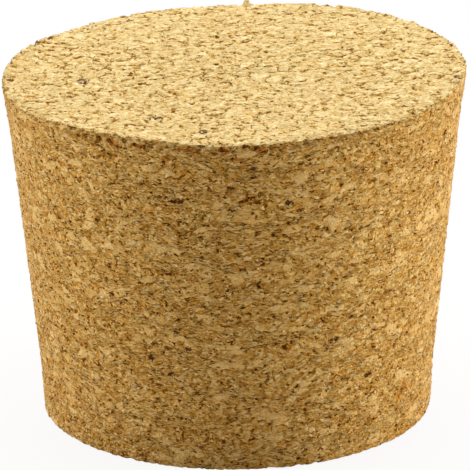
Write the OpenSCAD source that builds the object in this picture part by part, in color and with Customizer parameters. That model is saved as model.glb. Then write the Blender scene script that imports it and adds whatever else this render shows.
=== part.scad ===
// Tapered stopper of bonded cork granules, cut from one block, for the neck of a jar or flask.
// It stands on its narrow end: the origin is the centre of that end's flat face, +Z up the axis.
// All sizes are in millimetres and degrees.

/* [Taper] */
// Diameter across the wide end
wide_d = 50; // [30:0.5:100]
// Diameter across the narrow end
narrow_d = 42; // [20:0.5:90]
// Height along the axis, from the narrow end to the wide end
height = 38; // [15:0.5:90]

/* [Ends] */
// Slant of the wide end's saw cut, which rises towards +X
cut_slant = 1.4; // [0:0.1:4]
// Width of the worn bevel around the wide end's face
wide_bevel = 0.4; // [0.1:0.1:2]
// Width of the worn bevel around the narrow end's face
narrow_bevel = 0.5; // [0.1:0.1:2]

/* [Hidden] */

$fn = 180;
cork_tan = [0.74, 0.56, 0.33];

wide_r = wide_d / 2;
narrow_r = narrow_d / 2;
// Radius gained for each millimetre of height
side_slope = (wide_r - narrow_r) / height;
// How far the slanted cut rises above its centre at the rim
cut_rise = wide_r * tan(cut_slant);
// Height of the cone before the wide end is cut, clear of the cut all round
blank_height = height + 2 * cut_rise + wide_bevel;
// Depth of the tool that keeps what lies under the cut, clear of the narrow end
cut_depth = blank_height + wide_d;

// Radius of the tapered side at a height above the narrow end
function side_r(z) = narrow_r + side_slope * z;

// The ground cone with its narrow end finished and its wide end still too tall
module blank() {
    rotate_extrude()
        polygon([
            [0, 0],
            [side_r(0) - narrow_bevel, 0],
            [side_r(narrow_bevel), narrow_bevel],
            [side_r(blank_height), blank_height],
            [0, blank_height]
        ]);
}

// Everything under the wide end's cut: a flat face whose edge falls away at 45 degrees
module under_cut() {
    face_r = wide_r - wide_bevel;
    translate([0, 0, height])
        rotate([0, -cut_slant, 0])
            translate([0, 0, -cut_depth])
                cylinder(h = cut_depth, r1 = face_r + cut_depth, r2 = face_r);
}

module stopper() {
    color(cork_tan)
        intersection() {
            blank();
            under_cut();
        }
}

stopper();
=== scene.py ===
import math
import bpy
from mathutils import Matrix, Vector


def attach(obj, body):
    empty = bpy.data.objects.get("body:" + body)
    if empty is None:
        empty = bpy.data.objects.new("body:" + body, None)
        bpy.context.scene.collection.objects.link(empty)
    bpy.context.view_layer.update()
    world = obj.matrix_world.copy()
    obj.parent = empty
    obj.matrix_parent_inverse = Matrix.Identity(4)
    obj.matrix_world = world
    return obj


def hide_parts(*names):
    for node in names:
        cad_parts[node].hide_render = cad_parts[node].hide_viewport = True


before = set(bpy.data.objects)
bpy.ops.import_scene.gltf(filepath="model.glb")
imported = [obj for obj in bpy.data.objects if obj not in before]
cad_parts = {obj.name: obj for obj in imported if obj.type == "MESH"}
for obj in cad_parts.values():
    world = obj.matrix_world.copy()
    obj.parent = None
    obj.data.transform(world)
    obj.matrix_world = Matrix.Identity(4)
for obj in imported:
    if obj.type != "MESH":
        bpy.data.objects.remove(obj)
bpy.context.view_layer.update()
print("frame loaded:", sorted(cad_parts))

mm = 0.001  # metres in a millimetre


def tint(red, green, blue):  # a colour as read off a screen, 0 to 255, as Blender wants it
    def plain(level):
        level = level / 255
        return level / 12.92 if level < 0.04045 else ((level + 0.055) / 1.055) ** 2.4
    return (plain(red), plain(green), plain(blue), 1)


class Wire:  # one socket of a node tree, so that sums of nodes are written as Python sums
    def __init__(self, tree, socket):
        self.tree = tree
        self.socket = socket

    def node(self, kind, settings=None, values=None, out=0):
        made = self.tree.nodes.new(kind)
        for name, value in (settings or {}).items():
            if name == "stops":
                setStops(made.color_ramp, value)
            else:
                setattr(made, name, value)
        for name, value in (values or {}).items():
            if isinstance(value, Wire):
                self.tree.links.new(value.socket, made.inputs[name])
            else:
                made.inputs[name].default_value = value
        return Wire(self.tree, made.outputs[out])

    def other(self, name):  # another socket of the same node
        return Wire(self.tree, self.socket.node.outputs[name])

    def isVector(self):
        return self.socket.type in ("VECTOR", "RGBA")

    def sum(self, operation, first, second):
        both = (first, second)
        wide = any(isinstance(x, tuple) or (isinstance(x, Wire) and x.isVector()) for x in both)
        if wide:
            both = [(x, x, x) if isinstance(x, (int, float)) else x for x in both]
        kind = "ShaderNodeVectorMath" if wide else "ShaderNodeMath"
        return self.node(kind, {"operation": operation}, {0: both[0], 1: both[1]})

    def __add__(self, x):
        return self.sum("ADD", self, x)

    __radd__ = __add__

    def __sub__(self, x):
        return self.sum("SUBTRACT", self, x)

    def __rsub__(self, x):
        return self.sum("SUBTRACT", x, self)

    def __mul__(self, x):
        return self.sum("MULTIPLY", self, x)

    __rmul__ = __mul__

    def __truediv__(self, x):
        return self.sum("DIVIDE", self, x)

    def least(self, x):
        return self.sum("MINIMUM", self, x)

    def most(self, x):
        return self.sum("MAXIMUM", self, x)

    def swing(self):  # a pattern of 0 to 1 made to swing about 0
        return self - 0.5

    def size(self):  # a number without its sign
        return self.node("ShaderNodeMath", {"operation": "ABSOLUTE"}, {0: self})

    def length(self):
        return self.node("ShaderNodeVectorMath", {"operation": "LENGTH"}, {0: self}, "Value")

    def dot(self, x):
        return self.node("ShaderNodeVectorMath", {"operation": "DOT_PRODUCT"}, {0: self, 1: x}, "Value")

    def part(self, axis):  # X, Y or Z of a vector
        return self.node("ShaderNodeSeparateXYZ", None, {0: self}, axis)

    def ease(self, low, high, start=0.0, end=1.0):  # start below low, end above high, smooth between
        limits = {"Value": self, "From Min": low, "From Max": high, "To Min": start, "To Max": end}
        return self.node("ShaderNodeMapRange", {"interpolation_type": "SMOOTHSTEP"}, limits)

    def noise(self, perMm, detail=1.0, roughness=0.5, out=0):
        return self.node("ShaderNodeTexNoise", None,
                         {"Vector": self, "Scale": perMm, "Detail": detail, "Roughness": roughness}, out)

    def voronoi(self, feature):
        return self.node("ShaderNodeTexVoronoi", {"feature": feature}, {"Vector": self, "Scale": 1.0})

    def blend(self, low, high):  # low where self is 0, high where it is 1
        return self.node("ShaderNodeMix", {"data_type": "RGBA"}, {0: self, 6: low, 7: high}, 2)

    def mixed(self, low, high):  # the same for plain numbers
        return self.node("ShaderNodeMix", {"data_type": "FLOAT"}, {0: self, 2: low, 3: high}, 0)


def setStops(ramp, stops):
    while len(ramp.elements) > 1:
        ramp.elements.remove(ramp.elements[-1])
    for place, colour in stops:
        stop = ramp.elements[0] if place == stops[0][0] else ramp.elements.new(place)
        stop.position = place
        stop.color = colour


# flattened granules bonded together; sizes are in millimetres, scales in waves to a millimetre
grain = {
    "coarse": ((1.50, 1.50, 0.68), 3.1),  # large granules: their pitch along X, Y and Z, and a seed
    "fine": ((0.66, 0.66, 0.30), 7.7),    # the crumbs between them
    "chip": ((0.33, 0.33, 0.15), 5.3),    # the chips that make up the skin of both
    "hole": ((1.40, 1.40, 0.55), 9.4),    # small flat holes left between granules
    "pit": ((1.00, 0.40, 0.40), 6.2),     # ragged pits torn in the two cut ends
    "streak": ((0.90, 0.45, 0.45), 8.8),  # streaks on the two cut ends
    "crumbled": (0.87, 0.88),             # share of large granules that are crumbs
    "seedWay": (1.0, 1.7, 0.6),           # the way that a seed shifts its lattice
    "layerSquash": (1, 1, 2),
    "layerScale": 0.16,                   # how closely the layers wander
    "layerShift": (1.2, 1.2, 1.8),        # and how far
    "raggedScale": 1.1,
    "ragged": 0.60,                       # how far a granule's edge wanders
    "crumblyScale": 3.6,
    "crumbly": 0.20,                      # the same at the scale of chips
}

# what is missing between the granules; a pair that goes through either() is for the side and the ends
gaps = {
    "holeSpread": 0.75,                     # holes differ this much in reach
    "holeLeast": -0.48,                     # and most come to nothing
    "holeRagged": 0.5,
    "holeEdge": (-0.03, 0.08),
    "pitNoise": (1.0, 1.5, 0.6),
    "pitEdge": (0.66, 0.71),
    "grooveFull": (0.02, 0.03),             # a seam is a full groove this close to it
    "grooveGone": (0.06, 0.10),
    "openScale": 1.8,                       # how closely stretches of open seam follow each other
    "openEndScale": 1.0,                    # and the same on the ends
    "openEdge": (0.53, 0.56),
    "openLevel": (0.2, 0.8, -0.10, 0.03),   # level seams on the side open more readily than upright ones
    "openEnd": 0.03,
    "poreShare": (0.05, 0.055),             # share of chips that are missing
    "poreEdge": (0.0, 0.02),
    "nickSquash": (1, 1, 1.4),
    "nickScale": 1.2,
    "nickEdge": (0.55, 0.60),
    "nickReach": (0.4, 0.9),                # nicks fade out this far from the rim
}


def either(isEnd, pair):  # the first value on the side, the second on the two ends
    return isEnd.mixed(pair[0], pair[1])


def stretched(point, lattice):  # the point counted in pitches, shifted so that no two lattices agree
    pitch, seed = lattice
    shift = tuple(seed * way for way in grain["seedWay"])
    return point * (1 / pitch[0], 1 / pitch[1], 1 / pitch[2]) + shift


def splitGrains(point, lattice):  # one lattice of granules
    pitch = lattice[0]
    place = stretched(point, lattice)
    near = place.voronoi("F1")
    following = place.voronoi("F2")
    own = near.other("Color")
    across = (following.other("Position") - near.other("Position")) * pitch
    seam = (following * following - near * near) / across.length() * (pitch[0] * pitch[2] / 2)
    tilt = ((place - near.other("Position")) * pitch).dot(own.swing())
    level = across.part("Z").size() / across.length()
    return {"seam": seam, "own": own, "tilt": tilt, "level": level}


def corkField(point, isEnd):  # what the cork is like at a point given in millimetres
    layers = (point * grain["layerSquash"]).noise(grain["layerScale"], out=1).swing()
    ragged = point.noise(grain["raggedScale"], out=1).swing()
    crumbly = point.noise(grain["crumblyScale"], out=1).swing()
    loose = point + layers * grain["layerShift"] + ragged * grain["ragged"] + crumbly * grain["crumbly"]
    coarse = splitGrains(loose, grain["coarse"])
    fine = splitGrains(loose, grain["fine"])
    chip = splitGrains(loose, grain["chip"])
    isCrumb = coarse["own"].part("X").ease(*grain["crumbled"], 1.0, 0.0)
    seam = isCrumb.mixed(coarse["seam"], coarse["seam"].least(fine["seam"]))
    hollow = stretched(loose, grain["hole"]).voronoi("F1")
    reach = hollow.other("Color").part("X") * gaps["holeSpread"] + gaps["holeLeast"]
    hole = (reach - hollow + crumbly.part("X") * gaps["holeRagged"]).ease(*gaps["holeEdge"])
    pit = stretched(point, grain["pit"]).noise(*gaps["pitNoise"]).ease(*gaps["pitEdge"])
    edge = isEnd.mixed(seam, coarse["seam"])  # on the ends only the large granules part
    groove = edge.ease(either(isEnd, gaps["grooveFull"]), either(isEnd, gaps["grooveGone"]), 1.0, 0.0)
    openSide = point.noise(gaps["openScale"]) + fine["level"].ease(*gaps["openLevel"])
    openEnd = point.noise(gaps["openEndScale"]) + gaps["openEnd"]
    opening = isEnd.mixed(openSide, openEnd).ease(*gaps["openEdge"])
    pore = chip["own"].part("Y").ease(*gaps["poreShare"], 1.0, 0.0) * chip["seam"].ease(*gaps["poreEdge"])
    nick = (point * gaps["nickSquash"]).noise(gaps["nickScale"]).ease(*gaps["nickEdge"])
    field = {
        "seam": seam,
        "coarse": coarse,
        "fine": fine,
        "chip": chip,
        "isCrumb": isCrumb,
        "groove": groove * opening,
        "hole": isEnd.mixed(hole, pit),
        "pore": pore * (1 - isEnd),
        "nick": nick * rimNearby(point),
    }
    for kind, wander in oddBits["wander"].items():
        field[kind] = blots(point + crumbly * wander, kind)
    return field


# odd bits caught in the skin, and dents: where each sits and its half sizes in millimetres
oddBits = {
    "wander": {"bark": 0.7, "pale": 1.2, "dent": 0.8, "rust": 1.2, "proud": 0.0},  # of their edges
    "edge": (0.75, 1.05),
    "endHigh": 0.5,           # half height of a bit on an end
}
sideBits = {  # degrees round from the front, height, half width, half height
    "bark": (
        (-13.8, 31.3, 0.58, 0.42), (-15.8, 31.2, 0.60, 0.20), (-18.4, 31.6, 0.95, 0.18),
        (-0.9, 33.0, 0.42, 0.26), (-0.9, 30.4, 0.52, 0.20), (0.5, 29.6, 0.18, 0.36),
        (4.3, 35.2, 0.52, 0.33), (13.4, 31.0, 0.48, 0.32), (16.7, 30.1, 0.30, 0.26),
        (-24.3, 12.7, 0.50, 0.48), (-19.1, 14.0, 0.52, 0.30), (-22.4, 14.4, 0.85, 0.13),
        (-13.4, 14.2, 0.62, 0.28), (-18.5, 11.0, 0.55, 0.30), (-16.6, 16.0, 0.50, 0.25),
        (36.0, 26.8, 0.38, 0.28), (33.9, 26.7, 0.50, 0.14), (29.7, 27.1, 0.65, 0.14),
        (24.9, 13.9, 0.36, 0.22), (26.4, 14.2, 0.40, 0.28), (28.0, 14.4, 0.36, 0.30),
        (21.6, 13.4, 0.32, 0.30), (40.1, 9.2, 0.50, 0.32), (37.8, 11.0, 0.20, 0.16),
        (23.8, 11.4, 0.15, 0.22), (79.5, 36.4, 0.60, 0.28), (66.1, 33.9, 0.40, 0.30),
    ),
    "pale": (
        (-16.0, 31.95, 0.55, 0.17), (-0.2, 33.3, 0.17, 0.14), (-24.0, 14.65, 0.50, 0.20),
        (34.6, 26.1, 0.75, 0.33), (-9.5, 30.8, 0.85, 0.22), (6.0, 12.6, 0.70, 0.24),
    ),
    "rust": (
        (-2.3, 37.35, 1.00, 0.35), (-11.2, 37.3, 1.40, 0.38), (-30.8, 37.2, 0.90, 0.30),
        (6.5, 37.35, 0.90, 0.35), (-24.0, 37.2, 0.55, 0.32), (0.8, 36.4, 0.60, 0.20),
    ),
}
topBits = {  # across, back, half width, half depth
    "bark": (
        (-16.3, -1.6, 0.85, 1.00), (-8.5, -14.9, 0.95, 0.80), (-3.3, -20.2, 0.60, 0.75),
        (-3.3, -2.6, 0.34, 0.42), (24.0, -4.4, 0.50, 0.60),
    ),
    "dent": (
        (-15.0, 5.5, 0.36, 0.38), (-14.5, -5.1, 0.80, 0.26), (-17.3, -6.7, 0.36, 0.34),
        (-2.2, -19.2, 0.45, 0.30), (-6.1, -8.6, 0.40, 0.30), (-6.4, -11.9, 0.34, 0.30),
        (-10.1, -3.0, 0.42, 0.60), (-20.4, 8.3, 0.36, 0.50), (-21.3, -2.4, 0.40, 0.26),
        (-24.2, 0.0, 0.45, 0.40), (-18.2, -6.7, 1.10, 0.24), (21.9, -13.2, 0.32, 0.60),
        (-11.2, 0.7, 0.40, 0.30), (-12.6, 7.8, 0.32, 0.34), (-20.3, 14.3, 0.50, 0.60),
    ),
    "proud": ((1.55, 24.75, 0.42, 0.60),),
}


def onSide(turn, height):  # a point on the tapered side
    narrow = stopper["narrowAcross"] / 2 / mm
    wide = stopper["wideAcross"] / 2 / mm
    across = narrow + (wide - narrow) * height * mm / stopper["tall"]
    return (across * math.sin(math.radians(turn)), -across * math.cos(math.radians(turn)), height)


def onTop(across, back):  # a point on the slanted top
    return (across, back, stopper["tall"] / mm + across * math.tan(stopper["cutSlant"]))


def rimNearby(point):  # 1 on the wide end's rim, 0 from a little way off
    below = point.part("X") * math.tan(stopper["cutSlant"]) + stopper["tall"] / mm - point.part("Z")
    inside = stopper["wideAcross"] / 2 / mm - (point * (1, 1, 0)).length()
    return below.most(inside).ease(*gaps["nickReach"], 1.0, 0.0)


def blots(point, kind):  # 1 inside the bits of one kind, 0 outside
    lumps = []
    for turn, height, wide, high in sideBits.get(kind, ()):
        lumps.append((onSide(turn, height), (wide, wide, high)))
    for across, back, wide, deep in topBits.get(kind, ()):
        lumps.append((onTop(across, back), (wide, deep, oddBits["endHigh"])))
    inside = None
    for middle, half in lumps:
        lump = ((point - middle) / half).length()
        inside = lump if inside is None else inside.least(lump)
    return inside.ease(*oddBits["edge"], 1.0, 0.0)


# heights in millimetres: first what the mesh shows, then the finer relief that is left to the finish
relief = {
    "fineTilt": 0.30,
    "coarseTilt": 0.14,
    "seamEdge": (0.0, 0.16, -0.04, 0.0),
    "swellSquash": (1, 1, 1.7),
    "swellScale": 0.9,
    "swell": (0.14, 0.20),    # on the side and on the ends
    "sunk": {"groove": 0.10, "hole": 0.15, "bark": 0.08, "dent": 0.15, "nick": 0.30, "proud": -0.45},
}
chipping = {
    "chipTilt": 1.3,
    "fineTilt": 0.4,
    "whole": 0.4,             # share of the chips' relief on granules that aren't crumbs
    "gritSquash": (1, 1, 1.5),
    "gritNoise": (2.8, 2.0, 0.6),
    "grit": 0.26,
    "step": 0.12,             # how far granules and crumbs stand out differently
    "sunk": {"groove": 0.08, "hole": 0.10, "pore": 0.06},
    "strength": (1.0, 0.5),   # of it all, on the side and on the ends
}


def corkRelief(field, point, isEnd):
    tilt = field["fine"]["tilt"] * relief["fineTilt"] * field["isCrumb"]
    tilt = tilt + field["coarse"]["tilt"] * relief["coarseTilt"]
    swell = (point * relief["swellSquash"]).noise(relief["swellScale"]).swing()
    height = tilt + field["seam"].ease(*relief["seamEdge"]) + swell * either(isEnd, relief["swell"])
    for kind, depth in relief["sunk"].items():
        height = height - field[kind] * depth
    return height


def chipRelief(field, point, isEnd):
    crumble = field["isCrumb"] * (1 - chipping["whole"]) + chipping["whole"]
    tilt = field["chip"]["tilt"] * chipping["chipTilt"] * crumble
    tilt = tilt + field["fine"]["tilt"] * chipping["fineTilt"] * field["isCrumb"]
    grit = (point * chipping["gritSquash"]).noise(*chipping["gritNoise"]).swing() * chipping["grit"]
    steps = field["fine"]["own"].part("Y") * field["isCrumb"] + field["coarse"]["own"].part("Y")
    height = tilt + grit + steps * chipping["step"]
    for kind, depth in chipping["sunk"].items():
        height = height - field[kind] * depth
    return height * either(isEnd, chipping["strength"])


# how the plain solid is measured
gauge = {
    "endFacing": 0.9,         # upward share of the direction of the cut's face, at least
    "sideFacing": 0.3,        # and of the side's faces, at most
    "places": 4,              # decimals kept of a metre
    "slantPlaces": 1,         # and of a degree
}


def measureSolid():  # the plain solid's widths at both ends, height on the axis and slant of the cut
    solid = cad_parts["stopper"].data
    corners = [(face.normal.z, solid.vertices[i].co) for face in solid.polygons for i in face.vertices]
    cut = [spot for facing, spot in corners if facing > gauge["endFacing"]]
    side = [spot for facing, spot in corners if abs(facing) < gauge["sideFacing"]]
    crest = max(cut, key=lambda spot: spot.z)
    dip = min(cut, key=lambda spot: spot.z)
    upper = max(side, key=lambda spot: spot.z)
    lower = min(side, key=lambda spot: spot.z)
    tall = (crest.z + dip.z) / 2
    slope = (upper.xy.length - lower.xy.length) / (upper.z - lower.z)
    narrow = lower.xy.length - slope * lower.z
    slant = round(math.degrees(math.atan2(crest.z - dip.z, crest.x - dip.x)), gauge["slantPlaces"])
    measured = {"wideAcross": (narrow + slope * tall) * 2, "narrowAcross": narrow * 2, "tall": tall}
    measured = {name: round(size, gauge["places"]) for name, size in measured.items()}
    print("solid measured, in metres:", measured, "slant in degrees:", slant)
    return measured | {"cutSlant": math.radians(slant)}


# the stopper: profile turned on a lathe, then roughened
stopper = measureSolid() | {
    "wideRound": 0.28 * mm,       # rounding of the rims, before the cork's relief wears them
    "narrowRound": 0.28 * mm,
    "roundSteps": 4,
    "waist": 0.07 * mm,           # how much the side draws in between its two flared ends
    "wideFlare": 0.20 * mm,
    "narrowFlare": 0.26 * mm,
    "flareTall": 6 * mm,          # how far up and down the flares reach
    "rimWaves": (                 # degrees round from the front, how closely it keeps to the rim, lift
        (-35, 0.85, 0.50 * mm), (-108, 0.90, 0.36 * mm), (148, 0.85, 0.18 * mm),
        (50, 0.85, -0.15 * mm), (180, 0.90, -0.18 * mm),
    ),
    "turns": 720,
    "endStep": 0.22 * mm,         # spacing of the profile's points on the ends
    "sideStep": 0.125 * mm,       # and on the side
    "mergeNear": 0.001 * mm,
    "baseFacing": (-0.9, -0.6),   # upward share of a direction, from all base to none
    "endFacing": (0.6, 0.9),      # and from none to all top
    "keep": 0.26,                 # share of the triangles kept, which leaves fewer than 200,000
}
tiny = 0.01 * mm                  # places closer than this are the same
mostParts = 90                    # an edge is cut into no more parts than this at a time


def select(piece, domain, test):  # picks what passes the test, with all else deselected
    bpy.ops.object.mode_set(mode="EDIT")
    bpy.ops.mesh.select_mode(type=domain)
    bpy.ops.mesh.select_all(action="DESELECT")
    bpy.ops.object.mode_set(mode="OBJECT")
    points = piece.data.vertices
    if domain == "VERT":
        for point in points:
            point.select = test(point.co)
    else:
        for edge in piece.data.edges:
            edge.select = all(test(points[i].co) for i in edge.vertices)
    bpy.ops.object.mode_set(mode="EDIT")


def cutEdges(piece, test, step):  # cuts each picked edge into lengths of about step
    select(piece, "EDGE", test)
    bpy.ops.object.mode_set(mode="OBJECT")
    picked = [e for e in piece.data.edges if e.select]
    ends = [piece.data.vertices[i].co for i in picked[0].vertices]
    parts = max(2, round((ends[0] - ends[1]).length / step))
    halves = 0
    while parts > mostParts:
        parts = (parts + 1) // 2
        halves += 1
    bpy.ops.object.mode_set(mode="EDIT")
    bpy.ops.mesh.subdivide(number_cuts=parts - 1)
    for again in range(halves):
        select(piece, "EDGE", test)
        bpy.ops.mesh.subdivide(number_cuts=1)
    bpy.ops.object.mode_set(mode="OBJECT")


def turnBlank():
    wide = stopper["wideAcross"] / 2
    narrow = stopper["narrowAcross"] / 2
    tall = stopper["tall"]
    nearRound = 3 * tiny              # the rounded corners' last points lie this near their nominal place
    bpy.ops.object.select_all(action="DESELECT")
    bpy.ops.mesh.primitive_plane_add(size=tall)
    piece = bpy.context.object
    piece.name = "corkStopper"
    bpy.ops.object.mode_set(mode="EDIT")
    bpy.ops.mesh.delete(type="ONLY_FACE")
    bpy.ops.object.mode_set(mode="OBJECT")
    for point in piece.data.vertices:  # the sheet's corners become the profile's
        onAxis = point.co.x < 0
        high = point.co.y > 0
        point.co = (0 if onAxis else (wide if high else narrow), 0, tall if high else 0)
    select(piece, "EDGE", lambda p: p.x < mm)
    bpy.ops.mesh.delete(type="EDGE")
    for across, up, rounding in ((wide, tall, stopper["wideRound"]), (narrow, 0, stopper["narrowRound"])):
        select(piece, "VERT", lambda p: abs(p.x - across) < tiny and abs(p.z - up) < tiny)
        bpy.ops.mesh.bevel(offset=rounding, segments=stopper["roundSteps"], affect="VERTICES")
    bpy.ops.object.mode_set(mode="OBJECT")
    sideLow = stopper["narrowRound"] - nearRound
    sideHigh = tall - stopper["wideRound"] + nearRound
    cutEdges(piece, lambda p: p.z < tiny, stopper["endStep"])
    cutEdges(piece, lambda p: p.z > tall - tiny, stopper["endStep"])
    cutEdges(piece, lambda p: sideLow < p.z < sideHigh, stopper["sideStep"])
    print("profile points:", len(piece.data.vertices))
    lathe = piece.modifiers.new("lathe", "SCREW")
    lathe.steps = stopper["turns"]
    lathe.render_steps = stopper["turns"]
    lathe.use_merge_vertices = True
    lathe.merge_threshold = stopper["mergeNear"]
    bpy.ops.object.modifier_apply(modifier="lathe")
    bpy.ops.object.mode_set(mode="EDIT")
    bpy.ops.mesh.select_all(action="SELECT")
    bpy.ops.mesh.normals_make_consistent(inside=False)
    bpy.ops.object.mode_set(mode="OBJECT")
    print("turned:", len(piece.data.polygons), "faces")
    return piece


def roughenTree():  # moves each point of the turned blank: the slanted cut first, then the cork's relief
    tree = bpy.data.node_groups.new("roughenCork", "GeometryNodeTree")
    tree.interface.new_socket("Geometry", in_out="INPUT", socket_type="NodeSocketGeometry")
    tree.interface.new_socket("Geometry", in_out="OUTPUT", socket_type="NodeSocketGeometry")
    start = Wire(tree, tree.nodes.new("NodeGroupInput").outputs[0])
    at = start.node("GeometryNodeInputPosition")
    facing = start.node("GeometryNodeInputNormal")
    tall = stopper["tall"]
    wide = stopper["wideAcross"] / 2
    height = at.part("Z")
    lift = at.part("X") * math.tan(stopper["cutSlant"])
    for turn, close, rise in stopper["rimWaves"]:
        way = (math.sin(math.radians(turn)) / wide, -math.cos(math.radians(turn)) / wide, 0)
        lift = lift + at.dot(way).ease(close, 1.0, 0.0, rise)
    lift = lift * height / tall
    slope = (wide - stopper["narrowAcross"] / 2) / tall
    flare = height.ease(tall - stopper["flareTall"], tall, 0.0, stopper["wideFlare"])
    flare = flare + height.ease(0.0, stopper["flareTall"], stopper["narrowFlare"], 0.0) - stopper["waist"]
    spread = (lift * slope + flare) / wide + 1
    shift = start.node("ShaderNodeCombineXYZ", None,
                       {0: at.part("X") * spread, 1: at.part("Y") * spread, 2: at.part("Z") + lift})
    point = shift * (1 / mm)
    isBase = facing.part("Z").ease(*stopper["baseFacing"], 1.0, 0.0)
    isEnd = facing.part("Z").ease(*stopper["endFacing"]).most(isBase)
    raised = corkRelief(corkField(point, isEnd), point, isEnd)
    raised = isBase.mixed(raised, raised.least(0.0))  # the base only sinks in, so that it stands flat
    moved = shift + facing * raised * mm
    level = start.node("ShaderNodeCombineXYZ", None,
                       {0: moved.part("X"), 1: moved.part("Y"), 2: moved.part("Z").most(0.0)})
    placed = start.node("GeometryNodeSetPosition", None, {"Geometry": start, "Position": level})
    finish = tree.nodes.new("NodeGroupOutput")
    tree.links.new(placed.socket, finish.inputs[0])
    return tree


def roughen(piece):
    rough = piece.modifiers.new("rough", "NODES")
    rough.node_group = roughenTree()
    bpy.ops.object.modifier_apply(modifier="rough")
    thin = piece.modifiers.new("thin", "DECIMATE")
    thin.ratio = stopper["keep"]
    bpy.ops.object.modifier_apply(modifier="thin")
    bpy.ops.object.shade_smooth()
    print("roughened:", sum(len(face.vertices) - 2 for face in piece.data.polygons), "triangles")


# the flat layout that patterns are baked on: the side unrolled in strips, with both ends next to them
bakeMap = {
    "name": "OFBake",
    "strips": 3,
    "stripTall": 40 * mm,
    "gap": 0.8 * mm,
    "endDepth": 0.9 * mm,     # what lies further than this from both ends is side
    "endFacing": 0.5,         # least upward share of a face's direction for an end
    "rim": 1.5 * mm,          # further inside the rims than this, every face near an end is part of it
}


def layBakeMap(piece):
    wide = stopper["wideAcross"] / 2
    narrow = stopper["narrowAcross"] / 2
    gap = bakeMap["gap"]
    arc = 2 * math.pi / bakeMap["strips"]
    row = bakeMap["stripTall"] + gap
    square = row * bakeMap["strips"] + gap
    beside = arc * wide + 2 * gap + wide   # from the left edge to the middle of the ends
    mesh = piece.data
    spots = [point.co for point in mesh.vertices]
    layout = []
    for face in mesh.polygons:
        middle = face.center
        corners = [spots[i] for i in face.vertices]
        topDepth = stopper["tall"] + middle.x * math.tan(stopper["cutSlant"]) - middle.z
        facesEnd = abs(face.normal.z) > bakeMap["endFacing"]
        inTop = facesEnd or middle.xy.length < wide - bakeMap["rim"]
        inBase = facesEnd or middle.xy.length < narrow - bakeMap["rim"]
        if inTop and topDepth < bakeMap["endDepth"]:
            flat = [(beside + p.x, gap + wide + p.y) for p in corners]
        elif inBase and middle.z < bakeMap["endDepth"]:
            flat = [(beside - p.x, 2 * gap + 2 * wide + narrow + p.y) for p in corners]
        else:
            turn = math.atan2(middle.y, middle.x)
            strip = min(int((turn + math.pi) / arc), bakeMap["strips"] - 1)
            away = turn + math.pi - strip * arc
            ahead = Vector((math.cos(turn), math.sin(turn)))
            flat = []
            for p in corners:
                swing = math.atan2(ahead.x * p.y - ahead.y * p.x, ahead.x * p.x + ahead.y * p.y)
                flat.append((gap + (away + swing) * wide, gap + strip * row + p.z))
        for across, up in flat:
            layout += (across / square, up / square)
    layer = mesh.uv_layers.new(name=bakeMap["name"])
    layer.uv.foreach_set("vector", layout)
    print("bake map laid, least and most:", round(min(layout), 3), round(max(layout), 3))


# colours of the granules, darkest first, with the share of granules up to each; the ends' colours are
# paler and less saturated than the side's, partly the sawn ends' own colour and partly painted light: the
# paler look of the brightly lit top and its painted sheen
corkFinish = {
    "side": ((0.00, tint(90, 42, 0)), (0.14, tint(123, 70, 4)), (0.28, tint(160, 104, 26)),
             (0.44, tint(196, 142, 60)), (0.62, tint(228, 178, 99)), (0.81, tint(247, 209, 141)),
             (1.00, tint(255, 231, 184))),
    "end": ((0.00, tint(110, 60, 0)), (0.14, tint(146, 94, 0)), (0.28, tint(182, 136, 44)),
            (0.44, tint(215, 178, 104)), (0.62, tint(240, 207, 142)), (0.81, tint(249, 224, 168)),
            (1.00, tint(255, 240, 188))),
    "endFacing": (0.72, 0.9),         # upward share of a direction, from side to end
    "roughness": 0.45,
    "specular": 0.03,
}

# what the colours are multiplied by; a pair that goes through either() is for the side and the ends
shades = {
    "plain": (1, 1, 1, 1),
    "golden": (0.99, 1.00, 0.96, 1),  # crumbs go from golden to ruddy
    "ruddy": (1.00, 0.99, 0.97, 1),
    "ruddyShare": (0.3, 0.7),
    "binderAndShade": (0.89, 0.77, 0.50, 1),   # binder tint and painted crevice shade along the seams
    "binderAndShadeReach": (0.0, 0.10),        # this far from them, in millimetres
    "binderAndShadeWhole": 0.4,                # its share round granules that aren't crumbs
    "binderAndShadeStrength": (1.0, 0.5),
    "rusty": (0.88, 0.74, 0.46, 1),   # a few crumbs
    "rustyShare": (0.03, 0.04),
    "rust": (0.76, 0.52, 0.34, 1),    # the odd bits of rust
}

# bark and pale bits are painted over the rest
bitFinish = {
    "pale": tint(246, 214, 140),
    "paleStrength": 0.8,
    "bark": tint(98, 62, 36),
    "barkFlecks": ((0.1, 0.35), (0.3, 0.45)),  # chips below the first, up to the second, show through
    "barkLeast": (0.6, 0.1),
}

# how light the cork is, 0 darkest and 1 lightest; a pair that goes through either() as above
tones = {
    "base": (0.69, 0.665),
    "coarse": 0.03,                   # how much large granules differ
    "fine": (0.34, 0.07),             # and crumbs
    "paleShare": (0.92, 0.93),        # a few large granules are paler
    "pale": (0.07, 0.0),
    "chip": 0.22,                     # how much chips differ
    "flakeAndHighlightShare": (0.92, 0.93),       # a few are pale flakes, partly painted highlights on chips that catch the light
    "flakeAndHighlight": 0.36,
    "wholeChips": (0.25, 0.70),       # share of all that on granules that aren't crumbs
    "chips": (1.0, 0.5),
    "speckSquash": (1, 1, 1.5),
    "speckNoise": (3.5, 3.0, 0.7),
    "speck": (0.6, 0.95),
    "streakNoise": (1.0, 2.0, 0.75),
    "streak": (0.0, 1.6),
    "hollowShade": (0.55, 0.58),             # painted shade in grooves, holes, pores and dents
    "hollowShadeLeast": (0.65, 0.40),        # the least of it that a chip gets
    # painted shade in the nicks below the side's rim
    "nick": (0.16, 0.0),
}


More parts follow.
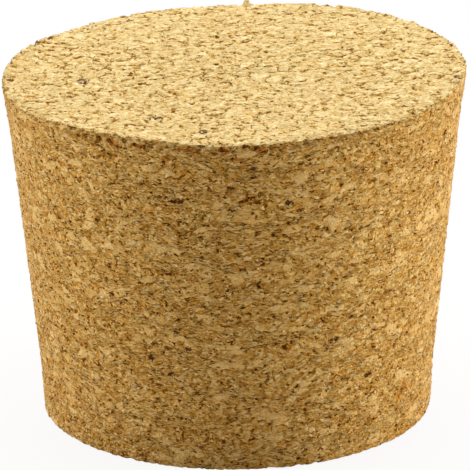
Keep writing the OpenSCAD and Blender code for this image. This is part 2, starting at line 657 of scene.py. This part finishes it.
def corkTone(field, point, isEnd):
    coarseOwn = field["coarse"]["own"]
    fineOwn = field["fine"]["own"]
    chipOwn = field["chip"]["own"]
    tone = coarseOwn.part("Z").swing() * tones["coarse"] + either(isEnd, tones["base"])
    tone = tone + coarseOwn.part("X").ease(*tones["paleShare"]) * either(isEnd, tones["pale"])
    tone = tone + fineOwn.part("Z").swing() * either(isEnd, tones["fine"]) * field["isCrumb"]
    # pale flakes, partly painted highlights on chips that catch the light
    flakeAndHighlight = chipOwn.part("Y").ease(*tones["flakeAndHighlightShare"])
    chips = chipOwn.part("Z").swing() * tones["chip"] + flakeAndHighlight * tones["flakeAndHighlight"]
    chips = chips * field["isCrumb"].mixed(either(isEnd, tones["wholeChips"]), 1.0)
    speck = (point * tones["speckSquash"]).noise(*tones["speckNoise"]).swing()
    streak = stretched(point, grain["streak"]).noise(*tones["streakNoise"]).swing()
    tone = tone + chips * either(isEnd, tones["chips"])
    tone = tone + speck * either(isEnd, tones["speck"]) + streak * either(isEnd, tones["streak"])
    # painted shade in grooves, holes, pores and dents, down to the ramps' darkest colours
    hollowShade = field["groove"].most(field["hole"]).most(field["pore"])
    hollowShade = hollowShade * chipOwn.part("X").ease(0.0, 1.0, either(isEnd, tones["hollowShadeLeast"]), 1.0)
    hollowShade = hollowShade.most(field["dent"])
    # the nicks below the rim get painted shade on the side
    return tone - hollowShade * either(isEnd, tones["hollowShade"]) - field["nick"] * either(isEnd, tones["nick"])


def shadeSeams(field, isEnd, colour):
    fineOwn = field["fine"]["own"]
    ruddy = fineOwn.part("X").ease(*shades["ruddyShare"])
    # binder tint and painted crevice shade next to the seams
    crumble = field["isCrumb"] * (1 - shades["binderAndShadeWhole"]) + shades["binderAndShadeWhole"]
    binderAndShade = field["seam"].ease(*shades["binderAndShadeReach"], 1.0, 0.0) * crumble
    binderAndShade = binderAndShade * either(isEnd, shades["binderAndShadeStrength"])
    rusty = fineOwn.part("Y").ease(*shades["rustyShare"], 1.0, 0.0) * field["isCrumb"]
    colour = colour * ruddy.blend(shades["golden"], shades["ruddy"])
    colour = colour * binderAndShade.blend(shades["plain"], shades["binderAndShade"])
    colour = colour * rusty.blend(shades["plain"], shades["rusty"])
    return colour * field["rust"].blend(shades["plain"], shades["rust"])


def paintBits(field, isEnd, colour):
    colour = (field["pale"] * bitFinish["paleStrength"]).blend(colour, bitFinish["pale"])
    low = either(isEnd, bitFinish["barkFlecks"][0])
    high = either(isEnd, bitFinish["barkFlecks"][1])
    flecked = field["chip"]["own"].part("X").ease(low, high, either(isEnd, bitFinish["barkLeast"]), 1.0)
    return (field["bark"] * flecked).blend(colour, bitFinish["bark"])


def corkMaterial():
    material = bpy.data.materials.new("bondedCork")
    material.use_nodes = True
    tree = material.node_tree
    shader = tree.nodes["Principled BSDF"]
    place = Wire(tree, tree.nodes.new("ShaderNodeTexCoord").outputs["Object"])
    facing = place.other("Normal").part("Z")
    point = place * (1 / mm)
    isEnd = facing.size().ease(*corkFinish["endFacing"])
    field = corkField(point, isEnd)
    tone = corkTone(field, point, isEnd)
    # the ends' paler ramp is partly painted light: the brightly lit top's paler look and painted sheen
    side = tone.node("ShaderNodeValToRGB", {"stops": corkFinish["side"]}, {0: tone})
    end = tone.node("ShaderNodeValToRGB", {"stops": corkFinish["end"]}, {0: tone})
    colour = paintBits(field, isEnd, shadeSeams(field, isEnd, isEnd.blend(side, end)))
    height = chipRelief(field, point, isEnd)
    bump = height.node("ShaderNodeBump", None, {"Height": height, "Distance": mm, "Strength": 1.0})
    tree.links.new(colour.socket, shader.inputs["Base Color"])
    tree.links.new(bump.socket, shader.inputs["Normal"])
    shader.inputs["Roughness"].default_value = corkFinish["roughness"]
    shader.inputs["Specular IOR Level"].default_value = corkFinish["specular"]
    return material


def makeStopper():
    piece = turnBlank()
    roughen(piece)
    layBakeMap(piece)
    piece.data.materials.append(corkMaterial())
    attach(piece, "root")
    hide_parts("stopper")
    print("stopper made")


# camera: a long lens, a little above the bench
view = {
    "frame": 470,             # width and height of the frame
    "sensor": 36.0,           # this and the lens are in millimetres
    "lens": 468.5,
    "away": 0.66675,
    "above": math.radians(19.46),
    "roll": math.radians(0.66),
    "middle": (235.63, 236.97),  # where the stopper's middle falls in it, from the top left
    "nearest": 0.01,
}


def setCamera():
    aim = Vector((0, 0, stopper["tall"] / 2))
    place = aim + view["away"] * Vector((0, -math.cos(view["above"]), math.sin(view["above"])))
    bpy.ops.object.camera_add(location=place)
    camera = bpy.context.object
    turn = (aim - place).to_track_quat("-Z", "Y").to_matrix() @ Matrix.Rotation(-view["roll"], 3, "Z")
    camera.rotation_euler = turn.to_euler()
    camera.data.sensor_width = view["sensor"]
    camera.data.lens = view["lens"]
    camera.data.clip_start = view["nearest"]
    camera.data.shift_x = (view["frame"] / 2 - view["middle"][0]) / view["frame"]
    camera.data.shift_y = (view["middle"][1] - view["frame"] / 2) / view["frame"]
    bpy.context.scene.camera = camera
    print("camera set")


# the bench top and the white behind it
studio = {
    "benchAcross": 6.0,
    "benchDrop": 0.02 * mm,   # so that the stopper's base doesn't lie in the bench
    "benchColour": (0.90, 0.84, 0.71, 1),
    "whiteShare": 0.90,       # how much of the bench the camera sees as plain white beside the stopper
    "whiteFrom": 22 * mm,     # from here out the share grows
    "whiteFull": 48 * mm,     # and from here the bench is all white
    "ambient": 0.085,
    "aimHeight": 20 * mm,     # where the softboxes point, above the bench
}

softboxes = {  # where each stands, its width, its height and its power
    "overhead": ((0.0, 0.15, 0.57), 0.60, 0.55, 2.2),
    "left": ((-0.55, 0.06, 0.22), 0.35, 0.50, 2.7),
    "right": ((0.55, 0.06, 0.22), 0.35, 0.50, 3.6),
    "back": ((0.0, 0.60, 0.35), 0.60, 0.40, 1.2),
}


def whiteToCamera(wire):  # 1 for the rays that should see plain white
    rays = wire.node("ShaderNodeLightPath", None, None, "Is Camera Ray")
    return rays.most(rays.other("Is Glossy Ray")).most(rays.other("Is Transmission Ray"))


def layBench():
    bpy.ops.object.select_all(action="DESELECT")
    bpy.ops.mesh.primitive_plane_add(size=studio["benchAcross"], location=(0, 0, -studio["benchDrop"]))
    bench = bpy.context.object
    bench.name = "benchTop"
    material = bpy.data.materials.new("whiteBench")
    material.use_nodes = True
    tree = material.node_tree
    matt = tree.nodes["Principled BSDF"]
    matt.inputs["Base Color"].default_value = studio["benchColour"]
    matt.inputs["Roughness"].default_value = 1.0
    matt.inputs["Specular IOR Level"].default_value = 0.0
    start = Wire(tree, matt.outputs[0])
    white = start.node("ShaderNodeEmission", None, {"Strength": 1.0})
    away = start.node("ShaderNodeTexCoord", None, None, "Object").length()
    whiteness = away.ease(studio["whiteFrom"], studio["whiteFull"], studio["whiteShare"], 1.0)
    share = whiteToCamera(start) * whiteness
    shown = start.node("ShaderNodeMixShader", None, {0: share, 1: start, 2: white})
    tree.links.new(shown.socket, tree.nodes["Material Output"].inputs["Surface"])
    bench.data.materials.append(material)


def hangLights():
    for name, (place, width, height, power) in softboxes.items():
        bpy.ops.object.light_add(type="AREA", location=place)
        lamp = bpy.context.object
        lamp.name = name + "Softbox"
        lamp.visible_camera = False
        toStopper = Vector((0, 0, studio["aimHeight"])) - Vector(place)
        lamp.rotation_euler = toStopper.to_track_quat("-Z", "Y").to_euler()
        lamp.data.shape = "RECTANGLE"
        lamp.data.size = width
        lamp.data.size_y = height
        lamp.data.energy = power
    world = bpy.data.worlds.new("studioWhite")
    world.use_nodes = True
    bpy.context.scene.world = world
    tree = world.node_tree
    ambient = Wire(tree, tree.nodes["Background"].outputs[0])
    strength = whiteToCamera(ambient).mixed(studio["ambient"], 1.0)
    tree.nodes["Background"].inputs["Color"].default_value = (1, 1, 1, 1)
    tree.links.new(strength.socket, tree.nodes["Background"].inputs["Strength"])
    print("bench and lights set")


setCamera()
layBench()
hangLights()
makeStopper()

bpy.context.scene.view_settings.view_transform = "Standard"
